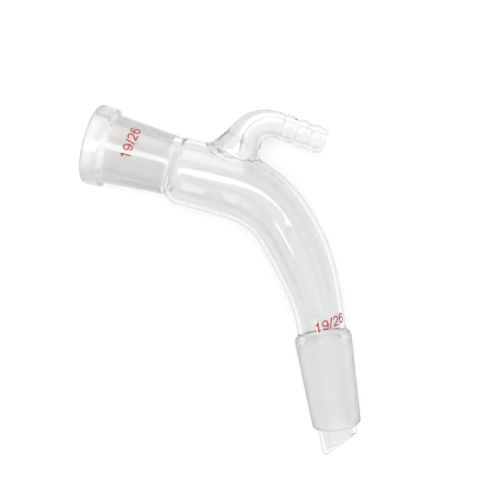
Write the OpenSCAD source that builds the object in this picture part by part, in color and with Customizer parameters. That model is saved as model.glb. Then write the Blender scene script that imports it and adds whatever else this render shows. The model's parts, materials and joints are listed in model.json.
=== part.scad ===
// Vacuum take off adapter, blown in one piece of glass: a ground socket with a rolled rim, a body
// that bends and narrows, a ground cone with a slanted drip tip, and a side arm with a hose nipple.
// Millimetres. It is drawn in its bend plane and then laid on its side as it comes to rest.

/* [Ground joints] */
// Diameter of both ground joints at their wide end
joint_d = 18.8; // [10:0.1:45]
// Length of both ground joints
joint_len = 26; // [15:0.5:50]
// Length over which a ground joint gets one millimetre narrower
joint_run = 10; // [8:0.5:20]

/* [Socket] */
// Thickness of the rolled rim around the ground joint
rim_wall = 4.2; // [2:0.1:8]
// Length of the rolled rim
rim_len = 7; // [3:0.1:12]
// Wall of the barrel behind the rim
barrel_wall = 2.3; // [1:0.1:4]
// Wall of the barrel at its inner end
barrel_end_wall = 1.9; // [1:0.1:4]

/* [Body] */
// Outer diameter of the body
body_d = 22.5; // [17:0.1:60]
// Straight length of the body, from the socket to the bend
body_len = 21; // [10:0.5:60]
// Wall of the body and of the bend
wall = 1.5; // [1:0.1:3]
// How far the socket sits off the body's middle line, on the side of the side arm
seal_shift = 0.85; // [0:0.05:1.2]
// Radius of the round shoulder where the body starts
shoulder_r = 6; // [4:0.1:9]

/* [Bend] */
// Angle of the tight first half of the bend
bend_turn = 42.7; // [20:0.1:60]
// Middle radius of the tight half
bend_r = 31.1; // [20:0.1:60]
// Angle of the long second half
sweep_turn = 22.8; // [10:0.1:45]
// Middle radius of the long half
sweep_r = 87.6; // [40:0.1:150]
// Outer diameter where the two halves meet
waist_d = 20.6; // [12:0.1:55]

/* [Cone and drip tip] */
// Length of the straight foot of the bend, down to the ground cone
foot_len = 7.5; // [5:0.1:20]
// How far the cone's wide end stands out around the foot
foot_step = 1.25; // [0.5:0.05:4]
// How far the clear ring above the ground cone stands out around its wide end
ring_step = 0.1; // [0:0.05:1]
// Wall of the ground cone at its narrow end
cone_wall = 1.85; // [1:0.05:3]
// How far the drip tip stands back from the cone's narrow end
tip_step = 1.7; // [0.5:0.1:5]
// Wall of the drip tip
tip_wall = 1.3; // [0.8:0.1:3]
// Length of the drip tip on its short side
tip_short = 2.8; // [1:0.1:15]
// Length of the drip tip on its long side
tip_long = 8; // [4:0.1:30]
// Slant of the drip tip's end
tip_slant = 31.7; // [0:0.1:45]
// Turn of the slant's short side out of the bend plane
tip_turn = 33; // [-90:1:90]

/* [Side arm] */
// Where the side arm's middle line leaves the body's, from the body's start
arm_at = 16.5; // [10:0.1:40]
// Lean of the side arm's foot toward the nipple
arm_lean = 18; // [0:0.1:30]
// Length of the side arm's foot, from the body's middle line to the arm's bend
arm_rise = 17.4; // [13:0.1:40]
// Outer diameter of the side arm's foot where it is welded to the body
arm_foot_d = 16.8; // [10:0.1:22]
// Extra width of that weld on the side under the nipple
arm_weld = 1.2; // [0:0.1:2]
// Outer diameter of the side arm where its bend starts
arm_knee_d = 12; // [7:0.1:22]
// Outer diameter of the side arm where the nipple starts
arm_d = 8.7; // [7:0.1:20]
// Angle of the arm's bend
arm_turn = 76.6; // [45:0.1:100]
// Middle radius of the arm's bend
arm_bend_r = 9.5; // [7:0.1:25]
// Bore of the side arm and the nipple
arm_bore = 5.6; // [3:0.1:12]
// Bore of the side arm where it opens into the body
arm_mouth = 8.4; // [4:0.1:14]

/* [Hose nipple] */
// Outer diameter over the ridges
ridge_d = 9.6; // [7:0.1:20]
// Outer diameter between the ridges
root_d = 8.4; // [6:0.1:18]
// Number of ridges
ridges = 3; // [1:1:6]
// Distance from ridge to ridge
ridge_pitch = 4.9; // [3:0.1:8]
// Length of the flat crest of a ridge
ridge_land = 0.9; // [0.3:0.1:1.2]
// Length from the arm's bend to the first crest
nipple_lead = 2; // [1:0.1:15]
// Length of the plain end past the last ridge
nipple_end = 0.9; // [0.7:0.1:10]

/* [Hidden] */
$fn = 96;
glass = [0.82, 0.9, 0.92, 0.5];
lap = 0.6;    // a bent piece reaches this far into its straight neighbours
sunk = 0.06;  // and lies this far under their skin
clear = 2;    // cutters run this far past the glass
steady = 2;   // the glass can't rest on a point nearer than this to the line it rolls about
small_r = 0.6;
body_heading = 15.4;

// Socket: edges of the rim, and how the barrel is sealed into the body
rim_r = min(1.5, rim_len / 4);
rim_back_r = min(2.2, rim_len / 3);
rim_fillet = 0.3;
mouth_land = 0.4;
seal_gap = 0.8;
seal_reach = 4;
seal_draft = 0.2;
shoulder_turn = 60;
shoulder_dip = 0.4;
floor_in = 1.6;

// Cone: the clear ring above it, its round nose, and the funnel into the drip tip
ring_r = joint_d / 2 + ring_step;
ring_round = 2.2;
ring_flat = 2;
ring_drop = 0.3;
nose_r = 1.5;
funnel_len = 2.5;

// Side arm: how its foot sinks into the body, and how its bore runs
arm_sunk = 0.4;
arm_low = 1.9;
arm_flare = 1.5;
weld_rise = 3;
bore_tight = 1.5;
mouth_fade = 2.5;

// Nipple: the steep side of a ridge, and the plain tube between two ridges
ridge_front = 0.8;
ridge_gap = 0.6;

// How finely the bent pieces are drawn
bend_sides = 44;
bend_bore_sides = 40;
arm_sides = 36;
arm_bore_sides = 28;
bend_steps = 12;
sweep_steps = 10;
sweep_lag = 1.45;

joint_end_r = (joint_d - joint_len / joint_run) / 2;
rim_out = joint_d / 2 + rim_wall;
socket_len = joint_len + seal_gap;
barrel_end_r = joint_end_r + barrel_end_wall;
body_r = body_d / 2;
foot_r = joint_d / 2 - foot_step;
cone_end = foot_len + joint_len;
tip_r = joint_end_r - tip_step;
tip_bore_r = tip_r - tip_wall;
tip_end = cone_end + nose_r + tip_long;

// Points of a round corner in a revolve's profile, given as [radius, height]
function corner(c, r, a0, a1, n = 8) =
    [for (i = [0 : n]) let (a = a0 + (a1 - a0) * i / n) c + r * [cos(a), sin(a)]];
// The body's round shoulder, on its outside or one wall further in
function shoulder(inset) =
    corner([body_r - shoulder_r, shoulder_r - shoulder_dip], shoulder_r - inset, -shoulder_turn, 0);
// A step from 0 to 1 with soft ends
function soft(t) = t * t * (3 - 2 * t);

// Middle lines: headings turn clockwise from +X, and each station is [x, y, heading, radius]
function ahead(h) = [cos(h), -sin(h)];
function outward(h) = [sin(h), cos(h)];
function turned(p, h, r, a) = p + r * (outward(h + a) - outward(h));
function station(p, h, r) = [p.x, p.y, h, r];

// The bend: a tight half, then a long half, each one narrower than the last
function bend_p(t) = t <= 1
    ? turned([body_len, 0], 0, bend_r, bend_turn * t)
    : turned(bend_p(1), bend_turn, sweep_r, sweep_turn * (t - 1));
function bend_h(t) = t <= 1 ? bend_turn * t : bend_turn + sweep_turn * (t - 1);
function bend_station(t, r) = station(bend_p(t), bend_h(t), r);
function bend_out(t) = t <= 1
    ? body_r + (waist_d / 2 - body_r) * soft(t)
    : waist_d / 2 + (foot_r - waist_d / 2) * soft(pow(t - 1, sweep_lag));
foot_p = bend_p(2);
foot_h = bend_h(2);
function bend_line(inset, under) = concat(
    [station([body_len - lap, 0], 0, body_r - inset - under)],
    [bend_station(0, body_r - inset - under)],
    [for (i = [1 : bend_steps]) let (t = i / bend_steps) bend_station(t, bend_out(t) - inset)],
    [for (i = [1 : sweep_steps - 1]) let (t = 1 + i / sweep_steps) bend_station(t, bend_out(t) - inset)],
    [bend_station(2, foot_r - inset - under)],
    [station(foot_p + lap * ahead(foot_h), foot_h, foot_r - inset - under)]);

// The side arm's outside: a foot that flares into the body, then a bend that ends along the nipple
arm_h = arm_lean - 90;
arm_p = [arm_at, 0] + arm_rise * ahead(arm_h);
arm_foot_r = min((arm_foot_d + arm_weld) / 2, body_r - arm_sunk);
arm_start = (sqrt(pow(body_r, 2) - pow(arm_foot_r, 2)) - arm_sunk) / cos(arm_lean);
arm_skin = body_r - arm_low;
arm_arc = arm_bend_r * arm_turn * PI / 180;
arm_slope = (arm_knee_d - arm_d) / 2 / arm_arc;
function arm_even(s) = arm_d / 2 + arm_slope * (arm_rise + arm_arc - s);
arm_splay = arm_foot_r - arm_weld / 2 - arm_even(arm_skin);
function arm_r(s) = s < arm_rise
    ? arm_even(s) + arm_splay * pow((arm_rise - s) / (arm_rise - arm_skin), arm_flare)
    : arm_even(s);
weld_low = (body_r + arm_knee_d / 2 * sin(arm_lean)) / cos(arm_lean);
function weld(s) = arm_weld / 2 * pow(max(0, 1 - max(0, s - weld_low) / weld_rise), 2);
nipple_p = turned(arm_p, arm_h, arm_bend_r, arm_turn);
nipple_h = arm_h + arm_turn;
function arm_foot(s, r) = station([arm_at + weld(s), 0] + s * ahead(arm_h), arm_h, r);
function arm_line() = concat(
    [arm_foot(arm_start, arm_foot_r)],
    [for (i = [0 : 5]) let (s = arm_skin + (arm_rise - arm_skin) * i / 6) arm_foot(s, arm_r(s) + weld(s))],
    [for (i = [0 : 12]) station(turned(arm_p, arm_h, arm_bend_r, arm_turn * i / 12),
        arm_h + arm_turn * i / 12, arm_r(arm_rise + arm_arc * i / 12) - (i == 12 ? sunk : 0))],
    [station(nipple_p + lap * ahead(nipple_h), nipple_h, arm_d / 2 - sunk)]);

// Its bore turns a little tighter, and runs square into the body
bore_r = arm_bore / 2;
bore_bend_r = arm_bend_r - bore_tight;
bore_top = turned(nipple_p, nipple_h, bore_bend_r, -90 - nipple_h);
bore_turn = 90 + nipple_h;
bore_low = body_r - wall;
function mouth_r(y) = bore_r + (arm_mouth / 2 - bore_r) * exp(-max(0, y - bore_low) / mouth_fade);
function bore_line() = concat(
    [for (i = [0 : 5]) let (y = bore_low - clear + (bore_top.y - bore_low + clear) * i / 5)
        station([bore_top.x, y], -90, mouth_r(y))],
    [for (i = [1 : 10]) let (a = bore_turn * i / 10) station(turned(bore_top, -90, bore_bend_r, a),
        a - 90, bore_r + (mouth_r(bore_top.y) - bore_r) * (1 - i / 10) - (i == 10 ? sunk : 0))],
    [station(nipple_p + lap * ahead(nipple_h), nipple_h, bore_r - sunk)]);

// How the part rests: it rolls about the line from the rim to the ring above the cone, or to the
// cone's narrow end where that comes lower, until the body or the bend touches down
rim_p = [rim_r - socket_len, seal_shift];
ring_rest = station(foot_p + (foot_len - ring_drop) * ahead(foot_h), foot_h, ring_r);
nose_rest = station(foot_p + cone_end * ahead(foot_h), foot_h, joint_end_r);
touching = concat([station([shoulder_r, 0], 0, body_r)], bend_line(0, 0));
function reach(s) = [s.x, s.y] - rim_p;
function across(v) = [-v.y, v.x];
function deep(s, far) = rim_out + (far[3] - rim_out) * (reach(s) * reach(far)) / (reach(far) * reach(far));
function aside(s, far) = reach(s) * across(reach(far)) / norm(reach(far));
function roll(far) = max([for (s = touching)
    let (a = aside(s, far)) if (a > steady) (s[3] - deep(s, far)) / a]);
function under(s, far) = s[3] - deep(s, far) - roll(far) * aside(s, far);
far = under(nose_rest, ring_rest) > 0 ? nose_rest : ring_rest;
// The floor under the flat part is z = -rim_out + fall * [x, y], measured from the rim
base = reach(far) / norm(reach(far));
fall = (rim_out - far[3]) / norm(reach(far)) * base - roll(far) * across(base);
tilt = atan(norm(fall));

// The box of the laid part is centred on the origin
function placed(p) = [p * ahead(-body_heading), p * outward(-body_heading)];
rim_low = placed(rim_p - (rim_out - rim_r) * [0, 1]);
rim_high = placed(rim_p + (rim_out - rim_r) * [0, 1]);
cone_low = placed(foot_p + cone_end * ahead(foot_h) + joint_end_r * outward(foot_h));
toe_low = placed(foot_p + tip_end * ahead(foot_h) - tip_r * outward(foot_h));
arm_top_r = arm_even(arm_rise - arm_bend_r * (arm_h + body_heading) * PI / 180);
arm_high = placed(arm_p - arm_bend_r * outward(arm_h)).y + arm_bend_r + arm_top_r;
box_mid = [rim_low.x - rim_r + cone_low.x, max(rim_high.y + rim_r, arm_high) + toe_low.y] / 2;

// A tube's skin through a list of stations, closed at both ends
module swept(line, sides) {
    n = len(line);
    points = [for (s = line) for (i = [0 : sides - 1]) let (a = 360 * (i + 0.5) / sides)
        concat([s[0], s[1]] + s[3] * cos(a) * outward(s[2]), s[3] * sin(a))];
    skin = [for (k = [0 : n - 2]) for (i = [0 : sides - 1]) let (j = (i + 1) % sides)
        [k * sides + i, (k + 1) * sides + i, (k + 1) * sides + j, k * sides + j]];
    first = [for (i = [0 : sides - 1]) i];
    last = [for (i = [sides - 1 : -1 : 0]) (n - 1) * sides + i];
    polyhedron(points, concat(skin, [first], [last]), convexity = 6);
}

// Stands a revolve on a middle line, its height running ahead
module set_at(p, h) {
    translate([p.x, p.y, 0]) rotate([0, 0, -h]) rotate([0, 90, 0]) children();
}

module socket_skin() {
    set_at([-socket_len, seal_shift], 0) rotate_extrude()
        polygon(concat(
            [[0, 0]],
            corner([joint_d / 2 + small_r, small_r], small_r, 180, 270, 4),
            corner([rim_out - rim_r, rim_r], rim_r, 270, 360),
            corner([rim_out - rim_back_r - seal_draft, rim_len - rim_back_r], rim_back_r, 0, 70),
            [[joint_d / 2 + barrel_wall, rim_len + rim_fillet],
             [barrel_end_r, socket_len],
             [barrel_end_r - seal_draft, socket_len + seal_reach],
             [0, socket_len + seal_reach]]));
}

module body_skin() {
    set_at([0, 0], 0) rotate_extrude()
        polygon(concat([[0, shoulder_dip]], shoulder(0), [[body_r, body_len], [0, body_len]]));
}

module cone_skin() {
    set_at(foot_p, foot_h) rotate_extrude()
        polygon(concat(
            [[0, 0], [foot_r, 0], [foot_r, foot_len - ring_flat - ring_round]],
            corner([ring_r - ring_round, foot_len - ring_flat], ring_round, -50, 0, 6),
            [[ring_r, foot_len - ring_drop], [joint_d / 2, foot_len], [joint_end_r, cone_end]],
            corner([joint_end_r - nose_r, cone_end], nose_r, 20, 80, 5),
            [[0, cone_end + nose_r]]));
}

module tip_skin() {
    // Cut on a slant, short on the outside of the bend, its sharp toe ground flat
    set_at(foot_p, foot_h) difference() {
        translate([0, 0, cone_end - nose_r]) cylinder(h = tip_end - cone_end + nose_r, r = tip_r);
        rotate([0, 0, tip_turn]) translate([0, tip_r, cone_end + nose_r + tip_short])
            rotate([-tip_slant, 0, 0])
                translate([-2 * tip_r, -6 * tip_r, 0]) cube([4 * tip_r, 8 * tip_r, tip_long + 2 * tip_r]);
    }
}

module nipple_skin() {
    root = root_d / 2;
    crest = ridge_d / 2;
    back = ridge_pitch - ridge_land - ridge_front - ridge_gap;
    end = nipple_lead + ridges * ridge_pitch - ridge_front - ridge_gap + nipple_end;
    set_at(nipple_p, nipple_h) rotate_extrude()
        polygon(concat(
            [[0, 0], [arm_d / 2, 0]],
            [for (i = [0 : ridges - 1]) let (z = nipple_lead + i * ridge_pitch) each
                [[root, z - ridge_front], [crest, z],
                 [crest, z + ridge_land], [root, z + ridge_land + back]]],
            corner([root - small_r, end - small_r], small_r, 0, 90, 4),
            [[0, end]]));
}

module bores() {
    // The socket's ground bore
    set_at([-socket_len, seal_shift], 0) rotate_extrude()
        polygon([[0, -clear], [joint_d / 2, -clear], [joint_d / 2, mouth_land],
            [joint_end_r, joint_len + mouth_land], [joint_end_r, socket_len + seal_reach - lap],
            [0, socket_len + seal_reach - lap]]);
    // The body's and the bend's inside
    set_at([0, 0], 0) rotate_extrude()
        polygon(concat([[0, floor_in]], shoulder(wall), [[body_r - wall, body_len], [0, body_len]]));
    swept(bend_line(wall, sunk), bend_bore_sides);
    // The cone's bore, which narrows into the drip tip's
    set_at(foot_p, foot_h) rotate_extrude()
        polygon([[0, 0], [foot_r - wall, 0], [foot_r - wall, foot_len],
            [joint_end_r - cone_wall, cone_end + nose_r - funnel_len],
            [tip_bore_r, cone_end + nose_r], [tip_bore_r, tip_end + clear], [0, tip_end + clear]]);
    // The side arm's and the nipple's
    swept(bore_line(), arm_bore_sides);
    set_at(nipple_p, nipple_h)
        cylinder(h = nipple_lead + ridges * ridge_pitch + nipple_end + clear, r = bore_r);
}

module flat_adapter() {
    difference() {
        union() {
            socket_skin();
            body_skin();
            swept(bend_line(0, sunk), bend_sides);
            cone_skin();
            tip_skin();
            swept(arm_line(), arm_sides);
            nipple_skin();
        }
        bores();
    }
}

// Lays the part on the floor, with the bend plane tipped onto its three lowest points
module adapter() {
    color(glass)
        translate([-box_mid.x, -box_mid.y, rim_out])
            rotate([0, 0, -body_heading])
                translate([rim_p.x, rim_p.y, 0])
                    rotate(a = tilt, v = [-fall.y, fall.x, 0])
                        translate([-rim_p.x, -rim_p.y, 0])
                            flat_adapter();
}

adapter();
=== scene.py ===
import json
import math

import bmesh
import bpy
import numpy as np
from mathutils import Matrix, Vector


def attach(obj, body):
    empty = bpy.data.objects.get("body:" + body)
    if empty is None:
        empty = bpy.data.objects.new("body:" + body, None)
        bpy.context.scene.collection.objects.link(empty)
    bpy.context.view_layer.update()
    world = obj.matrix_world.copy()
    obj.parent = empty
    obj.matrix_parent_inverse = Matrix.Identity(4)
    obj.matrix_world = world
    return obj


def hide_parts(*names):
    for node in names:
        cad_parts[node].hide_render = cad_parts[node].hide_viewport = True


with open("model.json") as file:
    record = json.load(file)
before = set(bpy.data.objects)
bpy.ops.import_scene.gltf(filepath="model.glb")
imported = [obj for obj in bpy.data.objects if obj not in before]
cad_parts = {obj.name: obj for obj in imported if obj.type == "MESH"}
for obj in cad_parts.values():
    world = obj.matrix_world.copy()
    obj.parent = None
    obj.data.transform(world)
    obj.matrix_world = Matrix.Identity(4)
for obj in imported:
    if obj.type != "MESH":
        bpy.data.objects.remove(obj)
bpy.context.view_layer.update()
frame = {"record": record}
scene = bpy.context.scene
print("the packed part is in")

# The glass is drawn flat and in millimetres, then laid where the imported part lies. The body runs
# along +X from its seal, the bend turns clockwise in the plane z = 0, and a heading is in radians,
# clockwise from +X.

socket = dict(
    length=26.8,            # from the mouth to the seal
    shift=0.85,             # the barrel sits this far off the body's middle line
    faceR=10.0,             # middle of the mouth's flat face
    faceGround=0.7,         # the face is ground, and this far round its edges
    mouthR=9.4,
    mouthRound=0.5,
    mouthLand=0.9,          # the bore is straight to here
    boreEndR=8.1,
    boreEnd=26.4,
    rimR=13.6,
    rimRound=1.5,
    rimBack=(6.3, 13.38),   # the rim's back edge, as distance from the mouth and radius
    rimBackRound=1.6,
    rimFoot=(7.35, 11.72),
    rimFootRound=0.5,
    barrelEndR=10.0,
    barrelTaper=0.05,       # what the barrel loses in each millimetre past the seal
    sealBlend=0.35,
)
body = dict(
    outerR=11.25,
    wall=1.5,
    straight=21.0,
    shoulderR=6.0,
    shoulderAt=5.6,         # centre of the shoulder's rounding, along the body
    bendTurn=math.radians(42.7),
    bendR=31.1,
    sweepTurn=math.radians(22.8),
    sweepR=87.6,
    waistR=10.3,            # where the tight bend ends and the long sweep starts
    sweepLag=1.45,          # above 1, the sweep narrows late
    footR=8.15,
)
cone = dict(
    ringFoot=3.25,          # distances are from the end of the bend
    ringFootRound=1.2,
    ringTop=4.47,
    ringTopRound=2.2,
    ringEnd=7.2,
    ringR=9.5,
    edgeRound=0.2,          # on both edges of the step from the ring to the cone
    start=7.5,
    startR=9.4,
    end=34.95,
    endR=8.03,
    noseR=1.4,
    groundStart=5.3,
    groundEnd=34.3,
    wall=1.85,
    boreRound=3.0,
    funnelStart=32.5,
    funnelRound=1.5,
    funnelEnd=35.0,
    funnelEndRound=1.0,
    tipStart=35.3,
    tipStartRound=0.25,
    tipR=6.4,
    tipBoreR=5.1,
    lipR=5.75,              # middle of the cut's lip
    lipRound=(0.2, 0.06),   # how far the lip's edges are rounded, in two steps
    cutShort=37.8,          # the slanted cut's short side, and its flat toe
    cutToe=43.0,
    cutSlant=math.radians(31.7),
    cutTurn=math.radians(33.0),
)
grain = dict(               # how finely the glass is drawn
    sides=96,
    step=0.8,
    roundTurn=math.radians(12.0),
    sealRings=(             # where the shoulder's rings lie, past the seal
        0.12, 0.25, 0.4, 0.55, 0.7, 0.9, 1.1, 1.35, 1.6, 1.8,
        2.0, 2.2, 2.45, 2.8, 3.2, 3.7, 4.3, 5.0, 5.6),
    tipSteps=12,
    armTurn=0.045,
    nippleStep=0.2,
    boreStep=0.3,
    boreTurn=0.06,
    patchStart=7.0,         # the weld's patch on the body
    patchTurn=math.radians(20.0),
    patchSteps=33,
    patchHalf=20,
    weldRows=22,
    weldEase=1.0,           # below 1, the patch's rows crowd towards the arm
    mouthRows=26,
    mouthEase=0.8,
    relaxTurns=60,          # how often a patch is smoothed, and how hard
    relaxPull=0.6,
    settleTurns=4,
    probe=1e-3,             # how far apart a weld's surface is felt for its slope
    merge=2e-4,             # points closer than this are one
    sharpTurn=math.radians(50.0),
)


def ahead(heading):
    return np.array([math.cos(heading), -math.sin(heading), 0.0])


def outward(heading):
    return np.array([math.sin(heading), math.cos(heading), 0.0])


def softStep(t):
    t = np.clip(t, 0, 1)
    return t * t * (3 - 2 * t)


def softMax(a, b, blend):
    h = np.maximum(blend - np.abs(a - b), 0) / blend
    return np.maximum(a, b) + h * h * blend / 4


bendLength = body["bendR"] * body["bendTurn"]
sweepLength = body["sweepR"] * body["sweepTurn"]
bendCentre = np.array([body["straight"], -body["bendR"], 0.0])
sweepCentre = bendCentre + (body["bendR"] - body["sweepR"]) * outward(body["bendTurn"])
footHeading = body["bendTurn"] + body["sweepTurn"]
footAt = sweepCentre + body["sweepR"] * outward(footHeading)
footRun = body["straight"] + bendLength + sweepLength


def middle(run):
    # Point and heading on the middle line, at a distance along it from the seal
    if run <= body["straight"]:
        return np.array([run, 0.0, 0.0]), 0.0
    if run <= body["straight"] + bendLength:
        heading = (run - body["straight"]) / body["bendR"]
        return bendCentre + body["bendR"] * outward(heading), heading
    if run <= footRun:
        heading = body["bendTurn"] + (run - body["straight"] - bendLength) / body["sweepR"]
        return sweepCentre + body["sweepR"] * outward(heading), heading
    return footAt + (run - footRun) * ahead(footHeading), footHeading


def tubeRadius(run):
    if run <= body["straight"]:
        return body["outerR"]
    if run <= body["straight"] + bendLength:
        share = (run - body["straight"]) / bendLength
        return body["outerR"] + (body["waistR"] - body["outerR"]) * softStep(share)
    share = min(1.0, (run - body["straight"] - bendLength) / sweepLength)
    return body["waistR"] + (body["footR"] - body["waistR"]) * softStep(share ** body["sweepLag"])


def steps(start, end, spacing):
    count = max(1, math.ceil((end - start) / spacing))
    return [start + (end - start) * i / count for i in range(1, count + 1)]


def rounded(profile, spacing):
    # A profile of (distance, radius, rounding) with its corners rounded and its long runs divided
    line = []
    for i, (along, radius, rounding) in enumerate(profile):
        here = np.array([along, radius])
        if rounding == 0:
            line.append(here)
            continue
        back = np.array(profile[i - 1][:2]) - here
        front = np.array(profile[i + 1][:2]) - here
        back, front = back / np.linalg.norm(back), front / np.linalg.norm(front)
        half = math.acos(np.clip(back @ front, -1, 1)) / 2
        turn = math.pi - 2 * half
        reach = rounding / math.tan(half)
        centre = here + (back + front) / np.linalg.norm(back + front) * rounding / math.sin(half)
        first, last = here + back * reach - centre, here + front * reach - centre
        count = max(2, math.ceil(turn / grain["roundTurn"]))
        for k in range(count + 1):
            t = k / count
            spoke = math.sin((1 - t) * turn) * first + math.sin(t * turn) * last
            line.append(centre + spoke / math.sin(turn))
    filled = [line[0]]
    for a, b in zip(line, line[1:]):
        gap = np.linalg.norm(b - a)
        if gap < 1e-6:
            continue
        count = max(1, math.ceil(gap / spacing))
        filled += [a + (b - a) * k / count for k in range(1, count + 1)]
    return [(float(a), float(r)) for a, r in filled]


def station(at, heading, radius, **marks):
    return dict(at=at, heading=heading, radius=radius, **marks)


def newObject(name, data):
    thing = bpy.data.objects.new(name, data)
    scene.collection.objects.link(thing)
    return thing


# Geometry Nodes: small helpers that keep the trees below readable


def startTree(name, inputs):
    tree = bpy.data.node_groups.new(name, "GeometryNodeTree")
    tree.interface.new_socket("Geometry", in_out="INPUT", socket_type="NodeSocketGeometry")
    for label, kind, value in inputs:
        made = tree.interface.new_socket(label, in_out="INPUT", socket_type=kind)
        if value is not None:
            made.default_value = value
    tree.interface.new_socket("Geometry", in_out="OUTPUT", socket_type="NodeSocketGeometry")
    return tree, tree.nodes.new("NodeGroupInput").outputs


def addNode(tree, kind, values, **settings):
    node = tree.nodes.new(kind)
    for key, value in settings.items():
        setattr(node, key, value)
    for key, value in values.items():
        if isinstance(value, bpy.types.NodeSocket):
            tree.links.new(value, node.inputs[key])
        elif value is not None:
            node.inputs[key].default_value = value
    return node


def calc(tree, operation, a, b=None, c=None):
    return addNode(tree, "ShaderNodeMath", {0: a, 1: b, 2: c}, operation=operation).outputs[0]


def vectorCalc(tree, operation, a, b=None, scale=None):
    values = {0: a, 1: b}
    if scale is not None:
        values["Scale"] = scale
    node = addNode(tree, "ShaderNodeVectorMath", values, operation=operation)
    return node.outputs["Value" if operation in ("DOT_PRODUCT", "LENGTH") else "Vector"]


def named(tree, name, kind="FLOAT"):
    node = addNode(tree, "GeometryNodeInputNamedAttribute", {"Name": name}, data_type=kind)
    return node.outputs["Attribute"]


def store(tree, geometry, name, value, kind="FLOAT"):
    values = {"Geometry": geometry, "Name": name, "Value": value}
    node = addNode(tree, "GeometryNodeStoreNamedAttribute", values, data_type=kind, domain="POINT")
    return node.outputs["Geometry"]


def endTree(tree, geometry, material):
    real = addNode(tree, "GeometryNodeRealizeInstances", {"Geometry": geometry}).outputs["Geometry"]
    values = {"Geometry": real, "Material": material}
    painted = addNode(tree, "GeometryNodeSetMaterial", values).outputs["Geometry"]
    tree.links.new(painted, tree.nodes.new("NodeGroupOutput").inputs["Geometry"])
    return tree


marks = ("radius", "run", "cut", "back", "finish")


def makeTubeTree():
    # A straight cylinder of unit size is drawn over a line of stations, one ring on each
    tree, given = startTree("tubeSkin", [
        ("Sides", "NodeSocketInt", 96),
        ("Finish", "NodeSocketMaterial", None),
    ])
    line = given["Geometry"]
    size = addNode(tree, "GeometryNodeAttributeDomainSize", {"Geometry": line}, component="MESH")
    length = calc(tree, "SUBTRACT", size.outputs["Point Count"], 1.0)
    values = {"Vertices": given["Sides"], "Side Segments": length, "Radius": 1.0, "Depth": length}
    drawn = addNode(tree, "GeometryNodeMeshCylinder", values, fill_type="NONE").outputs["Mesh"]
    place = addNode(tree, "GeometryNodeInputPosition", {}).outputs["Position"]
    split = addNode(tree, "ShaderNodeSeparateXYZ", {0: place}).outputs
    ring = calc(tree, "ROUND", calc(tree, "ADD", split["Z"], calc(tree, "MULTIPLY", length, 0.5)))

    def sampled(value, kind):
        values = {"Geometry": line, "Value": value, "Index": ring}
        node = addNode(tree, "GeometryNodeSampleIndex", values, data_type=kind, domain="POINT")
        return node.outputs["Value"]

    centre = sampled(place, "FLOAT_VECTOR")
    side = sampled(named(tree, "side", "FLOAT_VECTOR"), "FLOAT_VECTOR")
    out = vectorCalc(tree, "SCALE", side, scale=split["X"])
    up = addNode(tree, "ShaderNodeCombineXYZ", {"Z": split["Y"]}).outputs[0]
    across = vectorCalc(tree, "ADD", out, up)
    turn = calc(tree, "ARCTAN2", split["Y"], split["X"])
    spokesInTurn = calc(tree, "DIVIDE", given["Sides"], 2 * math.pi)
    spoke = calc(tree, "ROUND", calc(tree, "MULTIPLY", turn, spokesInTurn))
    made = store(tree, drawn, "ring", ring, "INT")
    made = store(tree, made, "spoke", spoke, "INT")
    made = store(tree, made, "across", across, "FLOAT_VECTOR")
    made = store(tree, made, "side", side, "FLOAT_VECTOR")
    for mark in marks:
        made = store(tree, made, mark, sampled(named(tree, mark), "FLOAT"))
    radius = sampled(named(tree, "radius"), "FLOAT")
    moved = vectorCalc(tree, "ADD", centre, vectorCalc(tree, "SCALE", across, scale=radius))
    values = {"Geometry": made, "Position": moved}
    placed = addNode(tree, "GeometryNodeSetPosition", values).outputs["Geometry"]
    return endTree(tree, placed, given["Finish"])


def makeTipTree():
    # Rings with a share of the cut slide along the tube until the last of them lies in its plane
    tree, given = startTree("slantedTip", [
        ("From", "NodeSocketFloat", 35.3),
        ("Short Side", "NodeSocketFloat", 37.8),
        ("Toe", "NodeSocketFloat", 43.0),
        ("Tip Radius", "NodeSocketFloat", 6.4),
        ("Slant", "NodeSocketFloat", 0.55),
        ("Turn", "NodeSocketFloat", 0.58),
        ("Finish", "NodeSocketMaterial", None),
    ])
    side = named(tree, "side", "FLOAT_VECTOR")
    lean = vectorCalc(tree, "SCALE", side, scale=calc(tree, "COSINE", given["Turn"]))
    rise = addNode(tree, "ShaderNodeCombineXYZ", {"Z": calc(tree, "SINE", given["Turn"])}).outputs[0]
    toward = vectorCalc(tree, "ADD", lean, rise)
    across = vectorCalc(tree, "DOT_PRODUCT", named(tree, "across", "FLOAT_VECTOR"), toward)
    far = calc(tree, "SUBTRACT", given["Tip Radius"], calc(tree, "MULTIPLY", across, named(tree, "radius")))
    plane = calc(tree, "MULTIPLY_ADD", far, calc(tree, "TANGENT", given["Slant"]), given["Short Side"])
    cutAt = calc(tree, "MINIMUM", plane, given["Toe"])
    slide = calc(tree, "MULTIPLY", calc(tree, "SUBTRACT", cutAt, given["From"]), named(tree, "cut"))
    slide = calc(tree, "SUBTRACT", slide, named(tree, "back"))
    forward = vectorCalc(tree, "CROSS_PRODUCT", side, (0.0, 0.0, 1.0))
    values = {"Geometry": given["Geometry"], "Offset": vectorCalc(tree, "SCALE", forward, scale=slide)}
    moved = addNode(tree, "GeometryNodeSetPosition", values).outputs["Geometry"]
    return endTree(tree, moved, given["Finish"])


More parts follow.
